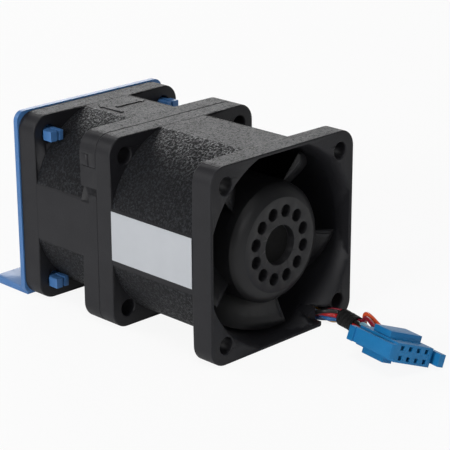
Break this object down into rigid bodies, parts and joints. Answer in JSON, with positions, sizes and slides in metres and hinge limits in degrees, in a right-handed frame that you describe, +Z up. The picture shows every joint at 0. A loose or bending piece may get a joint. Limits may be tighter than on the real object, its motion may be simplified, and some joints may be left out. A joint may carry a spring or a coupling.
{
  "type": "counter-rotating axial fan module",
  "caption": "Square two-stage axial fan module with counter-turning impellers, a clip-on blue end plate with a grip tab, and a short lead ending in a rectangular plug.",
  "frame": {"origin": "on the fan axis in the front face, at the centre of the four front bolt holes", "axes": "+Y rearward along the airflow, +Z up, +X to the right as seen from the front"},
  "size_m": [0.0406, 0.0989, 0.0403],
  "materials": {
    "housing_plastic": "moulded, fine spark texture on the duct",
    "impeller_plastic": "moulded, semi-matte",
    "yoke_steel": "drawn and plated",
    "magnet": "bonded ferrite, matte",
    "shaft_steel": "ground",
    "brass": "turned",
    "spring_steel": "drawn wire and strip",
    "bearing_steel": "ground",
    "shield_steel": "pressed",
    "lamination_steel": "stacked laminations",
    "insulator_plastic": "moulded nylon",
    "enamelled_copper": "enamelled copper wire",
    "board_laminate": "solder mask",
    "chip_plastic": "moulded package",
    "front_wire_insulation": "extruded insulation",
    "rear_wire_insulation": "extruded insulation",
    "label_film": "silver film, bare",
    "guard_plastic": "moulded, glossy blue",
    "sleeve_plastic": "black sleeving",
    "plug_wire_insulation": "extruded insulation",
    "plug_plastic": "moulded, glossy blue",
    "terminal_metal": "plated contact"
  },
  "bodies": {
    "frame": {"front_housing": "housing_plastic", "front_bearing_outer_rings": "bearing_steel", "front_bearing_shields": "shield_steel", "front_bearing_tube": "brass", "front_stator_core": "lamination_steel", "front_stator_insulators": "insulator_plastic", "front_windings": "enamelled_copper", "front_circuit_board": "board_laminate", "front_board_parts": "chip_plastic", "front_leads": "front_wire_insulation", "rear_housing": "housing_plastic", "rear_bearing_outer_rings": "bearing_steel", "rear_bearing_shields": "shield_steel", "rear_bearing_tube": "brass", "rear_stator_core": "lamination_steel", "rear_stator_insulators": "insulator_plastic", "rear_windings": "enamelled_copper", "rear_circuit_board": "board_laminate", "rear_board_parts": "chip_plastic", "rear_leads": "rear_wire_insulation", "rating_label": "label_film", "rear_guard": "guard_plastic", "harness_sleeve": "sleeve_plastic", "plug_wires": "plug_wire_insulation", "plug_housing": "plug_plastic", "plug_terminals": "terminal_metal"},
    "front_rotor": {"front_impeller": "impeller_plastic", "front_rotor_yoke": "yoke_steel", "front_magnet_ring": "magnet", "front_shaft": "shaft_steel", "front_shaft_bush": "brass", "front_preload_spring": "spring_steel", "front_bearing_inner_rings": "bearing_steel", "front_retaining_clip": "spring_steel"},
    "rear_rotor": {"rear_impeller": "impeller_plastic", "rear_rotor_yoke": "yoke_steel", "rear_magnet_ring": "magnet", "rear_shaft": "shaft_steel", "rear_shaft_bush": "brass", "rear_preload_spring": "spring_steel", "rear_bearing_inner_rings": "bearing_steel", "rear_retaining_clip": "spring_steel"}
  },
  "joints": [
    {"name": "front_rotor_spin", "type": "hinge", "parent": "frame", "child": "front_rotor", "pos_m": [0, 0.03225, 0], "axis": [0, -1, 0], "continuous": true},
    {"name": "rear_rotor_spin", "type": "hinge", "parent": "frame", "child": "rear_rotor", "pos_m": [0, 0.03225, 0], "axis": [0, 1, 0], "continuous": true}
  ]
}
